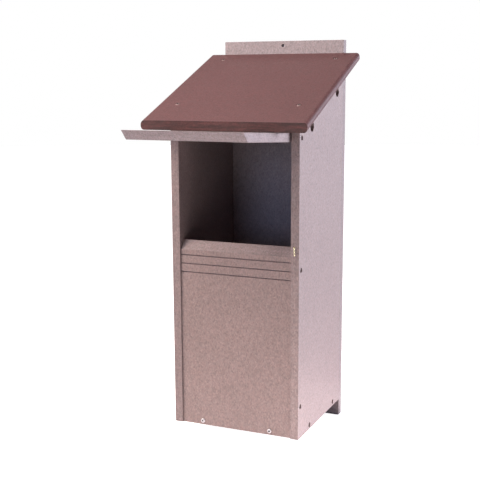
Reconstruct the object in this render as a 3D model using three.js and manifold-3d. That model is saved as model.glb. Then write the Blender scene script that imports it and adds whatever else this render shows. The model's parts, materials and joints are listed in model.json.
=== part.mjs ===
// Nest box of recycled-plastic boards for a post or a wall.
// Two side walls, a floor and a fixed lower front stand in front of a taller back board, under a
// sloping roof. The upper front is a door on two side screws: it swings up until its face meets the
// roof's front edge, and a brass hook on the right wall holds it shut.
//
// Millimetres. +Z is up, -Y is the front and +X is the right-hand side seen from the front.
// The origin is the centre of the back board's rear face. The door is drawn open.

import * as THREE from 'three';
import { mergeVertices } from 'three/addons/utils/BufferGeometryUtils.js';
import Module from 'manifold-3d';

const wasm = await Module();
wasm.setup();

// ---- driving dimensions ----

const BOARD = 16;             // thickness of every board
const GAP = 0.3;              // space between pieces that rest on each other
const BOX_WIDTH = 260;        // over the two side walls; the back board is as wide
const WALL_DEPTH = 244;       // side wall, front edge to back edge
const BACK_HEIGHT = 782;
const BACK_BELOW_BOX = 35;    // the back board reaches this far below the box

const ROOF_WIDTH = 327;
const ROOF_PITCH = THREE.MathUtils.degToRad(23.2);
const ROOF_OVERHANG = 52;     // in front of the side walls
const ROOF_EAVE = 577;        // underside of the roof at its front, above the box's bottom
const ROOF_EDGE_RADIUS = 7;   // rounding along the two long sides

const FRONT_RECESS = 3.6;     // the front boards sit this far behind the walls' front edges
const SILL = 348;             // outer edge of the lower front's bevelled top
const BEVEL = THREE.MathUtils.degToRad(46);
const GROOVE = { count: 3, belowSill: 10.4, pitch: 16.5, width: 2, depth: 2.4 };
const KERF = { count: 9, pitch: 33, width: 3, depth: 3 };   // footholds inside the lower front

const PIVOT_HEIGHT = 565;
const DOOR_ABOVE_PIVOT = 28;
const DOOR_SIDE_GAP = 1.7;
const DOOR_SILL_GAP = 1.2;
const DOOR_OPEN = THREE.MathUtils.degToRad(93);
const ENTRANCE = { width: 102, height: 76, belowPivot: 85 };

const VENT = { diameter: 19, belowRoof: 43.5, fromFront: 64, fromBack: 36.5 };
const DRAIN = { diameter: 10, fromSide: 45, fromEnd: 50 };
const MOUNT_HOLE = { diameter: 6.5, fromTop: 9, fromBottom: 16 };

const HOOK = { x: 121, height: 368, wire: 2.6, arm: 16, stand: 3.1, bend: 2.6, depth: 22 };
const HOOK_LEAN = THREE.MathUtils.degToRad(5);   // the hanging arm leans this far towards +X

const SCREW = { shank: 4.2, head: 9, headHeight: 2.6, length: 40, point: 6, socket: 3.4 };
const HEAD_OUTLINE = [[0.5, 0.35], [0.42, 0.7], [0.27, 0.95], [0, 1]];   // shares of head, headHeight
const COUNTERBORE = { diameter: 9.6, depth: 5, roofDepth: 2.2 };
// Rows of screws: heights above the box's bottom, or distances behind the walls' front edges.
const FRONT_PANEL_SCREWS = { upper: 324, lower: 62 };
const FLOOR_SCREWS = { front: 63, rear: 203 };
const ROOF_SCREWS = { front: 15, rear: 218 };
const BACK_SCREWS = { upper: 600, middle: 330, lower: 60 };
const FLOOR_END_SCREW_X = 70.6;   // screws into the floor through the lower front and the back board

const HOLE_SIDES = 12;
const SCREW_SIDES = 16;
const ROUND_SIDES = 40;
const REACH = 60;             // how far a cutter runs past what it cuts
const OVERCUT = 1;            // how far one runs on where there is little room
const MERGE_WITHIN = 1e-4;    // vertices this close are one

// ---- places worked out from them ----

const FRONT = -(BOARD + WALL_DEPTH);                // front edges of the side walls
const BACK_FACE = -BOARD;                           // front face of the back board
const BOTTOM = -BACK_HEIGHT / 2 + BACK_BELOW_BOX;   // underside of the walls and the floor
const INNER_WIDTH = BOX_WIDTH - 2 * BOARD;
const WALL_X = (BOX_WIDTH - BOARD) / 2;             // middle of a side wall's thickness
const PANEL_FRONT = FRONT + FRONT_RECESS;
const PANEL_MIDDLE = PANEL_FRONT + BOARD / 2;
const PANEL_BACK = PANEL_FRONT + BOARD;
const SILL_RISE = BOARD * Math.tan(BEVEL);
const PIVOT = new THREE.Vector3(0, PANEL_MIDDLE, BOTTOM + PIVOT_HEIGHT);

const roofUnderside = (y) =>
  BOTTOM + ROOF_EAVE + (y - FRONT + ROOF_OVERHANG) * Math.tan(ROOF_PITCH);
const roofTop = (y) => roofUnderside(y) + BOARD / Math.cos(ROOF_PITCH);

// ---- solids ----

// A closed three.js geometry as a manifold solid, ready for cuts and joins.
function solid(geometry) {
  const bare = geometry.clone();
  bare.deleteAttribute('normal');
  bare.deleteAttribute('uv');
  const merged = mergeVertices(bare, MERGE_WITHIN);
  const index = merged.index.array;
  const corners = [];
  for (let i = 0; i < index.length; i += 3) {
    const [a, b, c] = [index[i], index[i + 1], index[i + 2]];
    if (a !== b && b !== c && c !== a) corners.push(a, b, c);
  }
  return new wasm.Manifold(new wasm.Mesh({
    numProp: 3,
    vertProperties: new Float32Array(merged.attributes.position.array),
    triVerts: new Uint32Array(corners),
  }));
}

function toGeometry(manifold) {
  const { vertProperties, triVerts } = manifold.getMesh();
  const geometry = new THREE.BufferGeometry();
  geometry.setAttribute('position', new THREE.BufferAttribute(vertProperties, 3));
  geometry.setIndex(new THREE.BufferAttribute(triVerts, 1));
  return geometry;
}

// Carries a geometry drawn along +Z to a point, turned to face a direction.
function aim(geometry, point, direction) {
  const turn = new THREE.Quaternion()
    .setFromUnitVectors(new THREE.Vector3(0, 0, 1), direction.clone().normalize());
  geometry.applyQuaternion(turn);
  return geometry.translate(point.x, point.y, point.z);
}

// A rod about a line, with its flats outside the given diameter.
function rod(diameter, from, to, sides = HOLE_SIDES) {
  const along = to.clone().sub(from);
  const radius = diameter / 2 / Math.cos(Math.PI / sides);
  const geometry = new THREE.CylinderGeometry(radius, radius, along.length(), sides);
  geometry.rotateX(Math.PI / 2);
  return solid(aim(geometry, from.clone().addScaledVector(along, 0.5), along));
}

// A board whose outline, a list of [y, z] corners, is the same from x = left to x = right.
function board(outline, left, right) {
  const shape = new THREE.Shape(outline.map(([y, z]) => new THREE.Vector2(y, z)));
  const geometry = new THREE.ExtrudeGeometry(shape, { depth: right - left, bevelEnabled: false });
  const outlineToWorld = new THREE.Matrix4().makeBasis(
    new THREE.Vector3(0, 1, 0),
    new THREE.Vector3(0, 0, 1),
    new THREE.Vector3(1, 0, 0),
  );
  return solid(geometry.applyMatrix4(outlineToWorld).translate(left, 0, 0));
}

const rectangle = (y0, y1, z0, z1) => [[y0, z0], [y1, z0], [y1, z1], [y0, z1]];

function cut(piece, cutters) {
  return cutters.reduce((left, cutter) => left.subtract(cutter), piece);
}

// ---- screws: where each head seats, which way its point goes, and how deep the head is sunk ----

const point = (x, y, z) => new THREE.Vector3(x, y, z);
const sides = [['left', -1], ['right', 1]];
const screws = [];

function addScrew(name, surface, direction, sink) {
  const seat = surface.clone().addScaledVector(direction, sink);
  screws.push({ name, surface, direction, seat, sink });
}

for (const [side, sign] of sides) {
  const inwards = point(-sign, 0, 0);
  const outside = sign * BOX_WIDTH / 2;
  addScrew(`pivot_screw_${side}`, point(outside, PIVOT.y, PIVOT.z), inwards, COUNTERBORE.depth);
  for (const [level, height] of Object.entries(FRONT_PANEL_SCREWS)) {
    addScrew(`front_panel_screw_${side}_${level}`,
      point(outside, PANEL_MIDDLE, BOTTOM + height), inwards, COUNTERBORE.depth);
  }
  for (const [end, behind] of Object.entries(FLOOR_SCREWS)) {
    addScrew(`floor_screw_${side}_${end}`,
      point(outside, FRONT + behind, BOTTOM + BOARD / 2), inwards, COUNTERBORE.depth);
  }
}

const intoRoof = point(0, Math.sin(ROOF_PITCH), -Math.cos(ROOF_PITCH));
const backwards = point(0, 1, 0);
const forwards = point(0, -1, 0);
for (const [side, sign] of sides) {
  for (const [end, behind] of Object.entries(ROOF_SCREWS)) {
    const y = FRONT + behind;
    addScrew(`roof_screw_${side}_${end}`,
      point(sign * WALL_X, y, roofTop(y)), intoRoof, COUNTERBORE.roofDepth);
  }
  const floorEndX = sign * FLOOR_END_SCREW_X;
  addScrew(`floor_front_screw_${side}`,
    point(floorEndX, PANEL_FRONT, BOTTOM + BOARD / 2), backwards, 0);
  addScrew(`floor_back_screw_${side}`,
    point(floorEndX, 0, BOTTOM + BOARD / 2), forwards, COUNTERBORE.depth);
  for (const [level, height] of Object.entries(BACK_SCREWS)) {
    addScrew(`back_screw_${side}_${level}`,
      point(sign * WALL_X, 0, BOTTOM + height), forwards, COUNTERBORE.depth);
  }
}

// The hole a screw needs: its shank with GAP all round, and a counterbore where it is sunk.
function screwHole({ surface, seat, direction, sink }) {
  const end = seat.clone().addScaledVector(direction, SCREW.length + OVERCUT);
  const start = surface.clone().addScaledVector(direction, -OVERCUT);
  const shank = rod(SCREW.shank + 2 * GAP, start, end);
  return sink > 0 ? shank.add(rod(COUNTERBORE.diameter, start, seat, ROUND_SIDES / 2)) : shank;
}

// A pan-head screw with a square socket, drawn point down with its head's underside at z = GAP.
function screwSolid() {
  const { head, headHeight, length, point: taper, socket } = SCREW;
  const shank = SCREW.shank / 2;
  const outline = [
    [0, -length],
    [shank, -length + taper],
    [shank, GAP],
    [head / 2, GAP],
    ...HEAD_OUTLINE.map(([across, up]) => [across * head, up * headHeight]),
  ].map(([radius, z]) => new THREE.Vector2(radius, z));
  const turned = new THREE.LatheGeometry(outline, SCREW_SIDES).rotateX(Math.PI / 2);
  const drive = new THREE.BoxGeometry(socket, socket, headHeight).translate(0, 0, headHeight);
  return solid(turned).subtract(solid(drive));
}

// ---- boards ----

function sideWall(sign) {
  const outer = sign * BOX_WIDTH / 2;
  const inner = outer - sign * BOARD;
  const back = BACK_FACE - GAP;
  const clearance = GAP / Math.cos(ROOF_PITCH);
  const outline = [
    [FRONT, BOTTOM],
    [back, BOTTOM],
    [back, roofUnderside(back) - clearance],
    [FRONT, roofUnderside(FRONT) - clearance],
  ];
  const vents = [FRONT + VENT.fromFront, BACK_FACE - VENT.fromBack].map((y) => {
    const z = roofUnderside(y) - VENT.belowRoof;
    const [from, to] = [outer + sign * OVERCUT, inner - sign * OVERCUT];
    return rod(VENT.diameter, point(from, y, z), point(to, y, z), ROUND_SIDES);
  });
  return cut(board(outline, Math.min(outer, inner), Math.max(outer, inner)), vents);
}

function backBoard() {
  const half = BACK_HEIGHT / 2;
  const holes = [half - MOUNT_HOLE.fromTop, -half + MOUNT_HOLE.fromBottom].map((z) =>
    rod(MOUNT_HOLE.diameter, point(0, -REACH, z), point(0, REACH, z), ROUND_SIDES / 2));
  return cut(board(rectangle(BACK_FACE, 0, -half, half), -BOX_WIDTH / 2, BOX_WIDTH / 2), holes);
}

function floorPanel() {
  const [front, back] = [PANEL_BACK + GAP, BACK_FACE - GAP];
  const half = INNER_WIDTH / 2 - GAP;
  const drains = [];
  for (const x of [-half + DRAIN.fromSide, half - DRAIN.fromSide]) {
    for (const y of [front + DRAIN.fromEnd, back - DRAIN.fromEnd]) {
      drains.push(rod(DRAIN.diameter, point(x, y, BOTTOM - REACH), point(x, y, BOTTOM + REACH),
        ROUND_SIDES / 2));
    }
  }
  return cut(board(rectangle(front, back, BOTTOM, BOTTOM + BOARD), -half, half), drains);
}

// Corners of the notches cut into a vertical face at y, listed from the first height to the last.
// `into` is +1 where the board lies behind the face and -1 where it lies in front of it.
function notches(y, into, heights, { width, depth }, upwards) {
  const first = upwards ? -width / 2 : width / 2;
  return heights.flatMap((z) => [
    [y, z + first], [y + into * depth, z + first], [y + into * depth, z - first], [y, z - first],
  ]);
}

function frontPanel() {
  const sill = BOTTOM + SILL;
  const grooves = Array.from({ length: GROOVE.count },
    (_, i) => sill - GROOVE.belowSill - i * GROOVE.pitch);
  const kerfs = Array.from({ length: KERF.count },
    (_, i) => sill - (KERF.count - i - 0.5) * KERF.pitch);
  const outline = [
    [PANEL_FRONT, BOTTOM],
    [PANEL_BACK, BOTTOM],
    ...notches(PANEL_BACK, -1, kerfs, KERF, true),
    [PANEL_BACK, sill + SILL_RISE],
    [PANEL_FRONT, sill],
    ...notches(PANEL_FRONT, 1, grooves, GROOVE, false),
  ];
  const half = INNER_WIDTH / 2 - GAP;
  return board(outline, -half, half);
}

// The door as it stands shut, its outer face in line with the lower front's.
function shutDoor() {
  const foot = BOTTOM + SILL + DOOR_SILL_GAP;
  const top = PIVOT.z + DOOR_ABOVE_PIVOT;
  const entrance = PIVOT.z - ENTRANCE.belowPivot;
  const outline = [
    [PANEL_FRONT, foot],
    [PANEL_BACK, foot + SILL_RISE],
    [PANEL_BACK, top],
    [PANEL_FRONT, top],
  ];
  const half = INNER_WIDTH / 2 - DOOR_SIDE_GAP;
  const oval = new THREE.CylinderGeometry(0.5, 0.5, REACH, ROUND_SIDES)
    .scale(ENTRANCE.width, 1, ENTRANCE.height)
    .translate(0, PANEL_MIDDLE, entrance);
  return board(outline, -half, half).subtract(solid(oval));
}

// One slab with rounded long sides, laid on the walls and cut upright at its front and back.
function roofPanel() {
  const [w, t, r] = [ROOF_WIDTH / 2, BOARD, ROOF_EDGE_RADIUS];
  const section = new THREE.Shape()
    .moveTo(-w + r, 0).lineTo(w - r, 0).absarc(w - r, r, r, -Math.PI / 2, 0)
    .absarc(w - r, t - r, r, 0, Math.PI / 2).lineTo(-w + r, t)
    .absarc(-w + r, t - r, r, Math.PI / 2, Math.PI).absarc(-w + r, r, r, Math.PI, 1.5 * Math.PI);
  const length = (WALL_DEPTH + ROOF_OVERHANG) / Math.cos(ROOF_PITCH) + 2 * REACH;
  const slab = new THREE.ExtrudeGeometry(section,
    { depth: length, bevelEnabled: false, curveSegments: 8 })
    .translate(0, 0, -length + REACH)
    .rotateX(Math.PI / 2 + ROOF_PITCH)
    .translate(0, FRONT - ROOF_OVERHANG, BOTTOM + ROOF_EAVE);
  const depth = WALL_DEPTH + ROOF_OVERHANG - GAP;
  const between = new THREE.BoxGeometry(2 * ROOF_WIDTH, depth, 2 * BACK_HEIGHT)
    .translate(0, FRONT - ROOF_OVERHANG + depth / 2, 0);
  return solid(slab).intersect(solid(between));
}

// ---- latch ----

// Square-bend hook: a shank into the wall's front edge and an arm that hangs in front of it.
// It is drawn about its own turning axis, the shank's line.
function latchHook() {
  const { wire, arm, stand, bend, depth } = HOOK;
  const path = new THREE.CurvePath();
  path.add(new THREE.LineCurve3(point(0, depth, 0), point(0, bend - stand, 0)));
  path.add(new THREE.QuadraticBezierCurve3(
    point(0, bend - stand, 0), point(0, -stand, 0), point(0, -stand, -bend)));
  path.add(new THREE.LineCurve3(point(0, -stand, -bend), point(0, -stand, -arm)));
  const section = new THREE.Shape().absarc(0, 0, wire / 2, 0, 2 * Math.PI);
  return new THREE.ExtrudeGeometry(section, { steps: 24, curveSegments: 10, extrudePath: path });
}

const hookHole = rod(HOOK.wire + 2 * GAP,
  point(HOOK.x, FRONT - OVERCUT, BOTTOM + HOOK.height),
  point(HOOK.x, FRONT + HOOK.depth + OVERCUT, BOTTOM + HOOK.height));

// ---- materials ----

const material = (color, roughness, metalness = 0) =>
  new THREE.MeshStandardMaterial({ color, roughness, metalness });
const taupe = () => material(0xb3a0a2, 0.75);
const brown = () => material(0x80595a, 0.7);
const steel = () => material(0xb9b7b4, 0.35, 1);
const brass = () => material(0xd8c07a, 0.25, 1);

// ---- assembly ----

const birdhouse = new THREE.Group();

function addPiece(parent, name, geometry, finish) {
  const mesh = new THREE.Mesh(geometry, finish);
  mesh.name = name;
  parent.add(mesh);
  return mesh;
}

const holes = [...screws.map(screwHole), hookHole];
const boards = {
  left_side_wall: [sideWall(-1), taupe()],
  right_side_wall: [sideWall(1), taupe()],
  back_board: [backBoard(), taupe()],
  floor_panel: [floorPanel(), taupe()],
  lower_front_panel: [frontPanel(), taupe()],
  roof_panel: [roofPanel(), brown()],
};
for (const [name, [piece, finish]] of Object.entries(boards)) {
  addPiece(birdhouse, name, toGeometry(cut(piece, holes)), finish);
}

const doorHinge = new THREE.Group();
doorHinge.position.copy(PIVOT);
doorHinge.rotation.x = -DOOR_OPEN;
birdhouse.add(doorHinge);
const door = toGeometry(cut(shutDoor(), holes)).translate(-PIVOT.x, -PIVOT.y, -PIVOT.z);
addPiece(doorHinge, 'front_door', door, taupe());

const hook = addPiece(birdhouse, 'latch_hook', latchHook(), brass());
hook.position.set(HOOK.x, FRONT, BOTTOM + HOOK.height);
hook.rotation.y = -HOOK_LEAN;

const screwGeometry = toGeometry(screwSolid());
for (const { name, seat, direction } of screws) {
  const screw = addPiece(birdhouse, name, screwGeometry.clone(), steel());
  screw.position.copy(seat);
  screw.quaternion.setFromUnitVectors(point(0, 0, -1), direction);
}

export default birdhouse;
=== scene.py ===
import json
import math

import bmesh
import bpy
from mathutils import Matrix, Vector


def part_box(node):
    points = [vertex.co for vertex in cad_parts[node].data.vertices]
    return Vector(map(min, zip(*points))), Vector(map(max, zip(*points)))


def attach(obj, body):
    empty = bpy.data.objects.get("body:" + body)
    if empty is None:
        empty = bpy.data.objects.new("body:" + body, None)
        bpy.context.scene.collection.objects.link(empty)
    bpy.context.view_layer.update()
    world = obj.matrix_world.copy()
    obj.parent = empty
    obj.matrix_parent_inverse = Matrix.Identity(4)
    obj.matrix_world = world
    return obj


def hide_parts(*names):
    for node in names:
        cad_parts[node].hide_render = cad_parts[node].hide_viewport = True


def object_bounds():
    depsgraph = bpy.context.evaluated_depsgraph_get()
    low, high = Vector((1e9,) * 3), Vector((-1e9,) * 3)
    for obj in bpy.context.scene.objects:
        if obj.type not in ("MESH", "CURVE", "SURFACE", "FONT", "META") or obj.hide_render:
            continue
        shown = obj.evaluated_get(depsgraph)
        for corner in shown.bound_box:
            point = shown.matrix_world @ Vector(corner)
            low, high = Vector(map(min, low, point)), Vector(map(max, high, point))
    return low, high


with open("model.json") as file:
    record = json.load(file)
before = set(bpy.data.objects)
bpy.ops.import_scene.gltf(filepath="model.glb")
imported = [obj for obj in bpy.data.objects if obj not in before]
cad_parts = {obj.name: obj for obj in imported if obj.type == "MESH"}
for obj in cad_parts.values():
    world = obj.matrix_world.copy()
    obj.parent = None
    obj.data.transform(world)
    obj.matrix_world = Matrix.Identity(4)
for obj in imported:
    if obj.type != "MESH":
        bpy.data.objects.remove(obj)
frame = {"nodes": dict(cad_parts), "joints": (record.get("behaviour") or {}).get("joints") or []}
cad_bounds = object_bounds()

NODES = frame["nodes"]
MM = 0.001

# ---- camera: the photograph's angle ----

VIEW_AZIMUTH = math.radians(22.78)
VIEW_ELEVATION = math.radians(9.99)
VIEW_TARGET = Vector((0.0128, -0.135, -0.0103))
VIEW_DISTANCE = 1.7815
VIEW_LENS, VIEW_SENSOR = 67.09, 36.0    # millimetres
VIEW_SHIFT = (-0.0545, 0.0093)


def make_camera():
    data = bpy.data.cameras.new("camera")
    data.lens = VIEW_LENS
    data.sensor_width = VIEW_SENSOR
    data.shift_x, data.shift_y = VIEW_SHIFT
    camera = bpy.data.objects.new("camera", data)
    bpy.context.scene.collection.objects.link(camera)
    back = Vector((
        math.sin(VIEW_AZIMUTH) * math.cos(VIEW_ELEVATION),
        -math.cos(VIEW_AZIMUTH) * math.cos(VIEW_ELEVATION),
        math.sin(VIEW_ELEVATION),
    ))
    camera.location = VIEW_TARGET + back * VIEW_DISTANCE
    camera.rotation_mode = "QUATERNION"
    camera.rotation_quaternion = (-back).to_track_quat("-Z", "Y")
    bpy.context.scene.camera = camera


# ---- shader graphs ----

COLOR_A, COLOR_B, COLOR_OUT = 6, 7, 2    # sockets of a Mix node that mixes colours
WHITE = (1.0, 1.0, 1.0)


class Graph:
    """A short way to add nodes: a value given for a socket is a link or a constant."""

    def __init__(self, tree):
        self.tree = tree
        tree.nodes.clear()

    def add(self, kind, inputs=(), **settings):
        node = self.tree.nodes.new("ShaderNode" + kind)
        for key, value in settings.items():
            setattr(node, key, value)
        for key, value in dict(inputs).items():
            if isinstance(value, bpy.types.NodeSocket):
                self.tree.links.new(value, node.inputs[key])
            else:
                node.inputs[key].default_value = value
        return node

    def math(self, operation, a, b=0.0, c=0.0, clamp=False):
        return self.add("Math", {0: a, 1: b, 2: c}, operation=operation, use_clamp=clamp).outputs[0]

    def dot(self, a, b):
        return self.add("VectorMath", {0: a, 1: b}, operation="DOT_PRODUCT").outputs["Value"]

    def scaled(self, value, start, span):
        """start where value is 0, and start + span where it is 1."""
        return self.math("MULTIPLY_ADD", value, span, start)

    def sway(self, value, span):
        """A factor of about 1: 1 - span / 2 where value is 0, and 1 + span / 2 where it is 1."""
        return self.scaled(value, 1 - span / 2, span)

    def product(self, first, *others):
        for other in others:
            first = self.math("MULTIPLY", first, other)
        return first

    def mix(self, factor, a, b, blend="MIX"):
        node = self.add("Mix", {0: factor, COLOR_A: a, COLOR_B: b}, data_type="RGBA", blend_type=blend)
        return node.outputs[COLOR_OUT]

    def tint(self, color, shade):
        return self.mix(1.0, color, shade, "MULTIPLY")

    def noise(self, vector, scale, detail=3.0, roughness=0.55):
        return self.add("TexNoise", {
            "Vector": vector, "Scale": scale, "Detail": detail, "Roughness": roughness,
        }).outputs["Fac"]

    def streaks(self, place, through, depth, scale, scale_through):
        """Noise that is drawn out in the plane of a board, and fine through its thickness."""
        flat = self.add("VectorMath", {0: place, "Scale": scale}, operation="SCALE").outputs[0]
        lift = self.math("MULTIPLY", depth, scale_through - scale)
        steep = self.add("VectorMath", {0: through, "Scale": lift}, operation="SCALE").outputs[0]
        where = self.add("VectorMath", {0: flat, 1: steep}, operation="ADD").outputs[0]
        return self.noise(where, 1.0, 3.0, 0.6)

    def ramp(self, factor, stops, interpolation="LINEAR"):
        """stops is a list of (position, grey level)."""
        node = self.add("ValToRGB", {"Fac": factor})
        elements = node.color_ramp.elements
        node.color_ramp.interpolation = interpolation
        while len(elements) < len(stops):
            elements.new(1.0)
        for element, (position, level) in zip(elements, stops):
            element.position = position
            element.color = (level, level, level, 1.0)
        return node.outputs["Color"]


def new_material(name):
    material = bpy.data.materials.new(name)
    material.use_nodes = True
    return material, Graph(material.node_tree)


def finish_material(graph, color, roughness, height, bump_distance, bump_strength, **constants):
    bump = graph.add("Bump", {
        "Height": height, "Distance": bump_distance, "Strength": bump_strength,
    })
    shader = graph.add("BsdfPrincipled", {
        "Base Color": color, "Roughness": roughness, "Normal": bump.outputs["Normal"],
        **{key.replace("_", " "): value for key, value in constants.items()},
    })
    graph.add("OutputMaterial", {"Surface": shader.outputs["BSDF"]})


def through_board(node):
    """The way through a board, the middle of its thickness that way, and half its thickness."""
    through = max(node.data.polygons, key=lambda face: face.area).normal.copy()
    spans = [vertex.co.dot(through) for vertex in node.data.vertices]
    return through, (max(spans) + min(spans)) / 2, (max(spans) - min(spans)) / 2


# ---- the boards' material ----

# Noise over a board: features per metre, and how far each sways the brightness.
CLOUD_SCALE, CLOUD_SWAY = 7.0, 0.16
MOTTLE_SCALE, MOTTLE_SWAY = 110.0, 0.32
SPECK_SCALE, SPECK_SWAY = 360.0, 0.88
WARMTH_SCALE = 190.0
COOLER, WARMER = (0.98, 1.01, 1.01, 1.0), (1.03, 0.99, 0.98, 1.0)
STRETCH = 0.35               # how much the noise is drawn out along the way of extrusion

FLAKE_SCALE = 520.0
PALE, DEEP = 1.45, 0.55      # brightness of the palest and the deepest flakes, next to the base
PALE_FLAKES = [(0.0, 0.0), (0.90, 0.34)]
DEEP_FLAKES = [(0.0, 0.40), (0.10, 0.0)]

# Streaks in a sawn edge: noise scale along it, noise scale through the board, and strength.
STREAKS = ((8.0, 150.0, 0.45), (30.0, 300.0, 0.60), (90.0, 900.0, 0.30))
STREAK_STEPS = [(0.38, 0.0), (0.62, 1.0)]
FACES_SAWN = [(0.90, 0.0), (0.97, 1.0)]    # by how squarely a face looks along the axis asked for
FACES_MOULDED = [(0.90, 1.0), (0.97, 0.0)]
SKIN_FROM, SKIN_TO = 0.62, 0.92            # the dense skin, as shares of half the thickness

RUB_RADIUS = 1.6 * MM
RUB_SCALE = 130.0
RUBBED_EDGES = [(0.72, 1.0), (0.97, 0.0)]
RUBBED_PATCHES = [(0.40, 0.0), (0.62, 0.40)]

BOARD_ROUGHNESS, ROUGHNESS_SPAN, SAWN_ROUGHER = 0.46, 0.20, 0.14
SPECK_HEIGHT, MOTTLE_HEIGHT, SAWN_HEIGHT = 0.8, 0.7, 0.4
BOARD_BUMP, BOARD_BUMP_STRENGTH = 0.35 * MM, 0.55


def board_plastic(node, base, grain, sawn_along=None, fineness=1.0, sawn_shade=WHITE,
                  skin_shade=0.92, streaking=0.16, graininess=1.0):
    """Recycled-plastic board: a moulded skin with ground-in flakes, and streaked, sawn edges.

    grain is the way the board was extruded. A face is sawn where it looks along sawn_along, or,
    without it, where it isn't one of the broad faces. The dense skin shows darker along sawn edges.
    """
    material, g = new_material(f"{node.name}_plastic")
    through, middle, half = through_board(node)
    place = g.add("TexCoord").outputs["Object"]
    normal = g.add("NewGeometry").outputs["True Normal"]
    facing = g.add("VectorTransform", {"Vector": normal}, vector_type="NORMAL",
                   convert_from="WORLD", convert_to="OBJECT").outputs[0]
    squareness = g.math("ABSOLUTE", g.dot(facing, sawn_along or through))
    sawn = g.ramp(squareness, FACES_SAWN if sawn_along else FACES_MOULDED)

    # the skin: clouds, mottling and specks, then pale and deep flakes
    squeeze = [1.0 - STRETCH * abs(part) for part in grain]
    drawn = g.add("Mapping", {"Vector": place, "Scale": squeeze}).outputs["Vector"]
    cloud = g.noise(place, CLOUD_SCALE, 2.0)
    mottle = g.noise(drawn, MOTTLE_SCALE * fineness, 3.0)
    speck = g.noise(drawn, SPECK_SCALE * fineness, 3.0, 0.6)
    warmth = g.ramp(g.noise(place, WARMTH_SCALE * fineness, 2.0), [(0.35, 0.0), (0.65, 1.0)])
    tone = g.product(
        g.sway(cloud, CLOUD_SWAY),
        g.sway(mottle, MOTTLE_SWAY * graininess),
        g.sway(speck, SPECK_SWAY * graininess),
    )
    color = g.tint(g.tint((*base, 1.0), tone), g.mix(warmth, COOLER, WARMER))
    cells = g.add("TexVoronoi", {"Vector": drawn, "Scale": FLAKE_SCALE * fineness, "Randomness": 1.0})
    flake = g.add("SeparateColor", {"Color": cells.outputs["Color"]}).outputs[0]
    pale = (*(part * PALE for part in base), 1.0)
    deep = (*(part * DEEP for part in base), 1.0)
    color = g.mix(g.ramp(flake, PALE_FLAKES, "CONSTANT"), color, pale)
    color = g.mix(g.ramp(flake, DEEP_FLAKES, "CONSTANT"), color, deep)

    # sawn edges: streaks along them, darker at the dense skin
    depth = g.dot(place, through)
    lines = [g.ramp(g.streaks(place, through, depth, scale, scale_through), STREAK_STEPS)
             for scale, scale_through, _ in STREAKS]
    streaks = g.product(*(g.sway(line, streaking * share)
                          for line, (_, _, share) in zip(lines, STREAKS)))
    from_middle = g.math("ABSOLUTE", g.math("MULTIPLY_ADD", depth, 1 / half, -middle / half))
    skin = g.ramp(from_middle, [(SKIN_FROM, 1.0), (SKIN_TO, skin_shade)])
    sawn_color = g.tint(g.tint(color, g.product(streaks, skin)), (*sawn_shade, 1.0))
    color = g.mix(sawn, color, sawn_color)

    # rubbed patches along the edges
    rounded = g.add("Bevel", {"Radius": RUB_RADIUS}, samples=4).outputs["Normal"]
    edge = g.ramp(g.dot(rounded, normal), RUBBED_EDGES)
    rub = g.product(edge, g.ramp(g.noise(place, RUB_SCALE), RUBBED_PATCHES))
    color = g.mix(rub, color, pale)

    roughness = g.scaled(mottle, BOARD_ROUGHNESS, ROUGHNESS_SPAN)
    roughness = g.math("ADD", roughness, g.product(sawn, SAWN_ROUGHER), clamp=True)
    pebble = g.math("ADD", g.product(speck, SPECK_HEIGHT), g.product(mottle, MOTTLE_HEIGHT))
    height = g.math("ADD", pebble, g.product(sawn, g.product(lines[-1], SAWN_HEIGHT)))
    finish_material(g, color, roughness, height, BOARD_BUMP, BOARD_BUMP_STRENGTH,
                    Specular_IOR_Level=0.5)
    return material


# ---- the metals' material ----

METALS = {    # base colour, colour where tarnished, how strongly it is tarnished, and roughness
    "zinc_steel": ((0.66, 0.64, 0.66), (0.34, 0.31, 0.32), 0.5, 0.34),
    # darker, pinker steel for the roof screws: painted shade that dims their glint, with a painted
    # reflection of the brown roof
    "weathered_steel": ((0.36, 0.27, 0.27), (0.16, 0.10, 0.10), 0.7, 0.55),
    # near-black steel for the screws' sockets: painted shade in the recess
    "socket_painted_shade": ((0.10, 0.09, 0.09), (0.04, 0.03, 0.03), 0.8, 0.60),
    "hook_brass": ((0.92, 0.84, 0.56), (0.55, 0.43, 0.20), 0.30, 0.20),
}
GRIME_SCALE = 520.0
GRIME_FROM, GRIME_TO = 0.45, 0.70
GRIME_ROUGHER = 0.35
SCRATCH_SCALE = 2600.0
SCRATCH_STRETCH = (1.0, 1.0, 0.2)
SCRATCH_ROUGHER = 0.10
METAL_BUMP, METAL_BUMP_STRENGTH = 0.05 * MM, 0.25


def worn_metal(name):
    """One of METALS, finely scratched, with patches of tarnish."""
    base, dull, tarnish, roughness = METALS[name]
    material, g = new_material(name)
    place = g.add("TexCoord").outputs["Object"]
    grime_and_socket_shade = g.ramp(g.noise(place, GRIME_SCALE, 4.0), [(GRIME_FROM, 0.0), (GRIME_TO, tarnish)])
    color = g.mix(grime_and_socket_shade, (*base, 1.0), (*dull, 1.0))
    drawn = g.add("Mapping", {"Vector": place, "Scale": SCRATCH_STRETCH}).outputs["Vector"]
    scratch = g.noise(drawn, SCRATCH_SCALE, 2.0)
    rough = g.math("ADD", roughness, g.product(grime_and_socket_shade, GRIME_ROUGHER))
    rough = g.math("ADD", rough, g.product(scratch, SCRATCH_ROUGHER), clamp=True)
    finish_material(g, color, rough, scratch, METAL_BUMP, METAL_BUMP_STRENGTH, Metallic=1.0)
    return material


# ---- boards: the CAD's own solids, with eased edges ----

EDGE_EASE = 0.8 * MM
EASE_STEPS = 3
CREASE = math.radians(32)
WELD_WITHIN = 0.01 * MM
FLAT_WITHIN = math.radians(0.5)

TAUPE = (0.282, 0.222, 0.225)
BROWN = (0.103, 0.043, 0.046)

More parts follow.
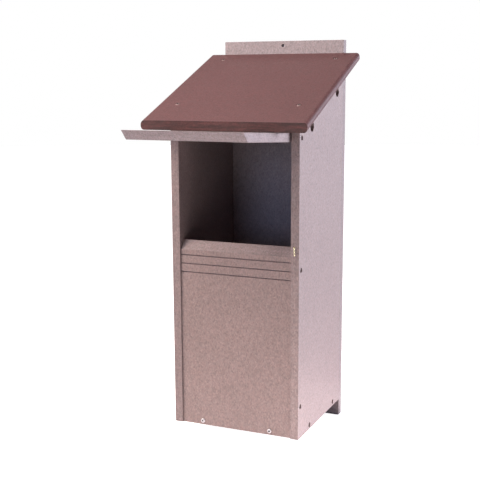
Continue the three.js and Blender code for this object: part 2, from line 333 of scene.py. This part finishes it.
UPRIGHT, ACROSS, OUTWARD = (0, 0, 1), (1, 0, 0), (0, 1, 0)
BOARDS = {    # the taupe boards: the way each was extruded, a factor on the taupe colour, and a factor on its sawn edges' colour
    "left_side_wall": (UPRIGHT, (0.84, 0.84, 0.84), (0.93, 0.89, 0.87)),
    "right_side_wall": (UPRIGHT, WHITE, (0.94, 0.915, 0.89)),
    "back_board": (UPRIGHT, (1.00, 1.06, 1.09), WHITE),
    "lower_front_panel": (UPRIGHT, (0.85, 0.785, 0.74), (1.18, 1.27, 1.35)),
    "floor_panel": (ACROSS, WHITE, WHITE),
    "front_door": (OUTWARD, WHITE, (1.06, 1.10, 1.14)),
}
ROOF_FINISH = {    # finer and grainier than the others, with dark, strongly streaked sawn ends
    "sawn_along": OUTWARD,
    "fineness": 1.10,
    "sawn_shade": (0.47, 0.32, 0.30),
    "skin_shade": 0.74,
    "streaking": 1.1,
    "graininess": 1.5,
}


def crease_shading():
    """A modifier's node group that shades smooth, but not across an edge sharper than CREASE."""
    group = bpy.data.node_groups.new("crease_shading", "GeometryNodeTree")
    group.interface.new_socket("Geometry", in_out="INPUT", socket_type="NodeSocketGeometry")
    group.interface.new_socket("Geometry", in_out="OUTPUT", socket_type="NodeSocketGeometry")
    start = group.nodes.new("NodeGroupInput")
    end = group.nodes.new("NodeGroupOutput")
    smooth = group.nodes.new("GeometryNodeSetShadeSmooth")
    creases = group.nodes.new("GeometryNodeSetShadeSmooth")
    creases.domain = "EDGE"
    creases.inputs["Shade Smooth"].default_value = False
    angle = group.nodes.new("GeometryNodeInputMeshEdgeAngle")
    sharper = group.nodes.new("FunctionNodeCompare")
    sharper.operation = "GREATER_THAN"
    sharper.inputs[1].default_value = CREASE
    link = group.links.new
    link(start.outputs[0], smooth.inputs["Geometry"])
    link(smooth.outputs[0], creases.inputs["Geometry"])
    link(angle.outputs["Unsigned Angle"], sharper.inputs[0])
    link(sharper.outputs[0], creases.inputs["Selection"])
    link(creases.outputs[0], end.inputs[0])
    return group


def ease_edges(node, group):
    weld = node.modifiers.new("weld", "WELD")
    weld.merge_threshold = WELD_WITHIN
    flatten = node.modifiers.new("flatten", "DECIMATE")
    flatten.decimate_type = "DISSOLVE"
    flatten.angle_limit = FLAT_WITHIN
    bevel = node.modifiers.new("bevel", "BEVEL")
    bevel.width = EDGE_EASE
    bevel.segments = EASE_STEPS
    bevel.limit_method = "ANGLE"
    bevel.angle_limit = CREASE
    shading = node.modifiers.new("shading", "NODES")
    shading.node_group = group
    weighted = node.modifiers.new("weighted", "WEIGHTED_NORMAL")
    weighted.keep_sharp = True


def dress(node, material):
    node.data.materials.clear()
    node.data.materials.append(material)


def dress_boards():
    group = crease_shading()
    for name, (grain, tint, sawn_shade) in BOARDS.items():
        base = tuple(part * share for part, share in zip(TAUPE, tint))
        dress(NODES[name], board_plastic(NODES[name], base, grain, sawn_shade=sawn_shade))
        ease_edges(NODES[name], group)
    roof = NODES["roof_panel"]
    low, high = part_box("roof_panel")
    slope = Vector((0, high.y - low.y, high.z - low.z)).normalized()
    dress(roof, board_plastic(roof, BROWN, slope, **ROOF_FINISH))
    ease_edges(roof, group)


# ---- swept and turned pieces ----

def piece_from(name, mesh, materials, body, *replaced):
    for material in materials:
        mesh.materials.append(material)
    piece = bpy.data.objects.new(name, mesh)
    bpy.context.scene.collection.objects.link(piece)
    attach(piece, body)
    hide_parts(*replaced)
    return piece


def rings_to_mesh(name, rings, second_from=None):
    """Skins closed rings of points; a ring of one point closes that end.

    The faces after ring number second_from take the second material.
    """
    bm = bmesh.new()
    rows = [[bm.verts.new(point) for point in ring] for ring in rings]
    for number, (low, high) in enumerate(zip(rows, rows[1:])):
        count = max(len(low), len(high))
        for i in range(count):
            corners = [low[i % len(low)], low[(i + 1) % len(low)],
                       high[(i + 1) % len(high)], high[i % len(high)]]
            face = bm.faces.new(list(dict.fromkeys(corners)))
            face.material_index = int(second_from is not None and number >= second_from)
    bmesh.ops.recalc_face_normals(bm, faces=bm.faces)
    for face in bm.faces:
        face.smooth = True
    mesh = bpy.data.meshes.new(name)
    bm.to_mesh(mesh)
    bm.free()
    return mesh


HEAD_RADIUS = 4.5 * MM
HEAD_HEIGHT = 2.6 * MM
HEAD_RIM = [(0.96, 0.0), (1.0, 0.12), (1.0, 0.30)]    # shares of its radius and its height
CROWN_STEPS = 10
SHANK_RADIUS = 2.1 * MM
CORE_RADIUS = 1.45 * MM
NECK_RADIUS = 1.25 * CORE_RADIUS
POINT_LENGTH = 6 * MM
THREAD_PITCH = 1.8 * MM
THREAD_STEPS = 8           # rings to one turn of the thread
THREAD_SHARPNESS = 3.2     # how narrow the crest is
PLAIN_SHARE = 0.35         # of the length, under the head, has no thread
PLAIN_CREST = 0.35         # how thick the plain shank is, from the core's radius to the crest's
SCREW_AROUND = 48
SOCKET_HALF = 1.75 * MM
SOCKET_MOUTH = 1.08 * SOCKET_HALF
SOCKET_BOTTOM = 0.9 * SOCKET_HALF
CROWN_INNER = 1.35 * SOCKET_HALF    # the crown is flat within this radius, round the socket
SOCKET_DEPTH = 2.1 * MM
SOCKET_LIP = 0.12 * MM
SOCKET_CONE = 0.3 * MM
SOCKET_POWER = 2 / 0.35    # a circle's power is 2, and a sharp square's has no limit
SCREW_TWIST = 37           # degrees, times the length of a screw's name, so that sockets vary


def circle(radius, z):
    step = 2 * math.pi / SCREW_AROUND
    return [Vector((radius * math.cos(i * step), radius * math.sin(i * step), z))
            for i in range(SCREW_AROUND)]


def square(half, z):
    """A square with rounded corners, with as many points as a circle."""
    points = []
    for corner in circle(1.0, 0.0):
        span = abs(corner.x) ** SOCKET_POWER + abs(corner.y) ** SOCKET_POWER
        reach = half * span ** (-1 / SOCKET_POWER)
        points.append(Vector((corner.x * reach, corner.y * reach, z)))
    return points


def screw_mesh(length):
    """A pan-head wood screw along +Z, its head's underside at z = 0 and its point at -length."""
    rings = [[Vector((0, 0, -length))]]
    steps = int(length / THREAD_PITCH * THREAD_STEPS)
    for k in range(1, steps):
        z = -length + length * k / steps
        grow = min(1.0, (z + length) / POINT_LENGTH)
        ring = []
        for i, around in enumerate(circle(1.0, 0.0)):
            crest = PLAIN_CREST
            if z < -PLAIN_SHARE * length:
                turn = (z / THREAD_PITCH - i / SCREW_AROUND) % 1.0
                crest = max(0.0, 1.0 - abs(turn - 0.5) * THREAD_SHARPNESS)
            radius = (CORE_RADIUS + (SHANK_RADIUS - CORE_RADIUS) * crest) * grow
            ring.append(Vector((around.x * radius, around.y * radius, z)))
        rings.append(ring)
    rings.append(circle(NECK_RADIUS, 0.0))
    rings += [circle(HEAD_RADIUS * across, HEAD_HEIGHT * up) for across, up in HEAD_RIM]
    rim_top = HEAD_RIM[-1][1]
    for k in range(1, CROWN_STEPS):
        lean = 0.5 * math.pi * k / CROWN_STEPS
        radius = CROWN_INNER + (HEAD_RADIUS - CROWN_INNER) * math.cos(lean)
        rings.append(circle(radius, HEAD_HEIGHT * (rim_top + (1 - rim_top) * math.sin(lean))))
    rings.append(square(SOCKET_MOUTH, HEAD_HEIGHT))
    rings.append(square(SOCKET_HALF, HEAD_HEIGHT - SOCKET_LIP))
    socket = len(rings) - 1
    rings.append(square(SOCKET_BOTTOM, HEAD_HEIGHT - SOCKET_DEPTH))
    rings.append([Vector((0, 0, HEAD_HEIGHT - SOCKET_DEPTH - SOCKET_CONE))])
    return rings_to_mesh("screw", rings, socket)


def screw_axis(node):
    """The point and the head's top of a CAD screw: it is round about the line between them."""
    spots = {tuple(round(part, 6) for part in vertex.co) for vertex in node.data.vertices}
    spots = [Vector(spot) for spot in spots]
    middle = sum(spots, Vector()) / len(spots)
    tip = max(spots, key=lambda spot: (spot - middle).length)
    axis = (middle - tip).normalized()
    top = max((spot - tip).dot(axis) for spot in spots)
    return tip, axis, top


def make_screws():
    """Every screw is steel; the four in the roof take a darker, pinker steel: painted shade and a
    painted reflection of the brown roof.
    """
    steel = worn_metal("zinc_steel")
    shaded_roof_steel = worn_metal("weathered_steel")
    # the sockets take a near-black material, painted shade in the recess
    grime_and_socket_shade = worn_metal("socket_painted_shade")
    for name in sorted(node for node in NODES if "screw" in node):
        tip, axis, top = screw_axis(NODES[name])
        mesh = screw_mesh(top - HEAD_HEIGHT)
        turn = axis.to_track_quat("Z", "Y").to_matrix().to_4x4()
        twist = Matrix.Rotation(math.radians(SCREW_TWIST * len(name) % 90), 4, "Z")
        seat = Matrix.Translation(tip + axis * (top - HEAD_HEIGHT))
        mesh.transform(seat @ turn @ twist)
        finish = shaded_roof_steel if name.startswith("roof_") else steel
        piece = piece_from(f"{name}_threaded", mesh, (finish, grime_and_socket_shade), "box", name)


WIRE_RADIUS = 1.3 * MM
HOOK_LEAN = math.radians(5)
HOOK_BEND = 3.4 * MM
HOOK_BEND_STEPS = 12
HOOK_STEP = 0.6 * MM
HOOK_AROUND = 32


def make_hook():
    """The square-bend hook: a threaded shank in the wall and a bright arm in front of it.

    It is drawn about its turning axis, hanging straight down, and then leant over by HOOK_LEAN.
    """
    low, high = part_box("latch_hook")
    axis = Vector(next(j for j in frame["joints"] if j["name"] == "hook_turn")["pos_m"])
    arm_y = low.y - axis.y + WIRE_RADIUS
    tip_z = (low.z - axis.z + WIRE_RADIUS * math.sin(HOOK_LEAN)) / math.cos(HOOK_LEAN)
    route = [Vector((0, high.y - axis.y, 0)), Vector((0, arm_y + HOOK_BEND, 0))]
    for k in range(1, HOOK_BEND_STEPS):
        turn = 0.5 * math.pi * k / HOOK_BEND_STEPS
        down = HOOK_BEND * (1 - math.cos(turn))
        route.append(Vector((0, arm_y + HOOK_BEND * (1 - math.sin(turn)), -down)))
    route += [Vector((0, arm_y, -HOOK_BEND)), Vector((0, arm_y, tip_z))]
    mesh = rings_to_mesh("hook", tube_rings(route, WIRE_RADIUS))
    mesh.transform(Matrix.Translation(axis) @ Matrix.Rotation(-HOOK_LEAN, 4, "Y"))
    brass = worn_metal("hook_brass")
    piece = piece_from("square_bend_hook", mesh, (brass,), "hook", "latch_hook")


def tube_rings(route, radius):
    """Round rings along a route in a plane of constant x, with domed ends."""
    fine = [route[0]]
    for a, b in zip(route, route[1:]):
        count = max(1, int((b - a).length / HOOK_STEP))
        fine += [a.lerp(b, k / count) for k in range(1, count + 1)]
    lengths = [0.0]
    for a, b in zip(fine, fine[1:]):
        lengths.append(lengths[-1] + (b - a).length)
    total = lengths[-1]
    side = Vector((1, 0, 0))
    rings = [[fine[0]]]
    for k in range(1, len(fine) - 1):
        along = (fine[k + 1] - fine[k - 1]).normalized()
        up = side.cross(along)
        from_end = min(lengths[k], total - lengths[k], radius)
        here = radius * math.sqrt(max(0.0, 1 - (1 - from_end / radius) ** 2))
        turns = (2 * math.pi * i / HOOK_AROUND for i in range(HOOK_AROUND))
        rings.append([fine[k] + (side * math.cos(turn) + up * math.sin(turn)) * here
                      for turn in turns])
    rings.append([fine[-1]])
    return rings


# ---- stage ----

SUNS = {    # azimuth, elevation and softness in degrees (azimuth 0 is the front, 90 the right), strength
    "side_wall_light": (116, 6, 28, (4.14, 4.23, 4.61)),
    "backdrop_glow": (152, 6, 30, (0.49, 0.46, 0.57)),
    "overhead_light": (5, 64, 34, (0.23, 0.20, 0.22)),
    "low_cool_fill": (-10, 5, 22, (0.28, 0.34, 0.52)),
    "rear_left_light": (-140, 50, 28, (0.34, 0.26, 0.26)),
}
SOFTBOXES = {    # place, what it is aimed at, size, and power
    "left_softbox": ((-1.0, -1.1, 1.1), (0, -0.15, 0.1), (0.9, 0.9), (28.7, 24.7, 22.1)),
    "top_softbox": ((-0.2, -1.2, 1.5), (0, -0.15, 0.1), (0.9, 0.9), (23.9, 21.8, 19.6)),
    "front_bounce": ((0.0, -0.41, -0.388), (0.0, -0.41, 1.0), (0.60, 0.28), (0.60, 0.52, 0.52)),
    "right_bounce": ((0.29, -0.15, -0.388), (0.29, -0.15, 1.0), (0.28, 0.60), (1.08, 0.89, 0.87)),
}
FLOOR_RADIUS = 9.0
FLOOR_SIDES = 96
FLOOR_DROP = 1.0 * MM    # the floor lies this far below the birdhouse
FLOOR_COLOR = (0.93, 0.93, 0.93, 1.0)
FLOOR_ROUGHNESS = 0.8
FLOOR_GRAIN_SCALE = 40.0
FLOOR_BUMP, FLOOR_BUMP_STRENGTH = 0.1 * MM, 0.1
FLOOR_GLOW = 0.95        # lifts the floor to a studio white for the camera alone
WORLD_IN_GLOSS = 0.12    # how bright the white surround is in reflections


def place_light(data, location, towards, strength):
    data.energy = max(strength)
    data.color = [part / data.energy for part in strength]
    light = bpy.data.objects.new(data.name, data)
    bpy.context.scene.collection.objects.link(light)
    light.location = location
    light.rotation_mode = "QUATERNION"
    light.rotation_quaternion = towards.to_track_quat("-Z", "Y")
    light.visible_camera = False


def make_lights():
    for name, (azimuth, elevation, softness, strength) in SUNS.items():
        azimuth, elevation = math.radians(azimuth), math.radians(elevation)
        source = Vector((math.sin(azimuth) * math.cos(elevation),
                         -math.cos(azimuth) * math.cos(elevation), math.sin(elevation)))
        data = bpy.data.lights.new(name, "SUN")
        data.angle = math.radians(softness)
        place_light(data, source, -source, strength)
    for name, (location, target, (width, height), power) in SOFTBOXES.items():
        data = bpy.data.lights.new(name, "AREA")
        data.shape = "RECTANGLE"
        data.size, data.size_y = width, height
        place_light(data, location, Vector(target) - Vector(location), power)


def make_floor():
    low = cad_bounds[0]
    bm = bmesh.new()
    bmesh.ops.create_circle(bm, cap_ends=True, segments=FLOOR_SIDES, radius=FLOOR_RADIUS)
    mesh = bpy.data.meshes.new("floor")
    bm.to_mesh(mesh)
    bm.free()
    floor = bpy.data.objects.new("floor", mesh)
    floor.location = (0, 0, low.z - FLOOR_DROP)
    bpy.context.scene.collection.objects.link(floor)
    material, g = new_material("pale_floor")
    place = g.add("TexCoord").outputs["Object"]
    grain = g.noise(place, FLOOR_GRAIN_SCALE)
    glow = g.math("MULTIPLY", g.add("LightPath").outputs["Is Camera Ray"], FLOOR_GLOW)
    finish_material(g, FLOOR_COLOR, FLOOR_ROUGHNESS, grain, FLOOR_BUMP, FLOOR_BUMP_STRENGTH,
                    Emission_Color=(*WHITE, 1.0), Emission_Strength=glow)
    mesh.materials.append(material)


def make_surround():
    """White behind everything for the camera, faint in reflections, and no light of its own."""
    world = bpy.data.worlds.new("studio")
    bpy.context.scene.world = world
    world.use_nodes = True
    g = Graph(world.node_tree)
    path = g.add("LightPath").outputs
    seen = g.math("MULTIPLY_ADD", path["Is Glossy Ray"], WORLD_IN_GLOSS, path["Is Camera Ray"])
    backdrop = g.add("Background", {"Color": (*WHITE, 1.0), "Strength": seen})
    g.add("OutputWorld", {"Surface": backdrop.outputs[0]})


make_camera()
dress_boards()
make_screws()
make_hook()
make_floor()
make_surround()
make_lights()
bpy.context.scene.view_settings.view_transform = "Standard"
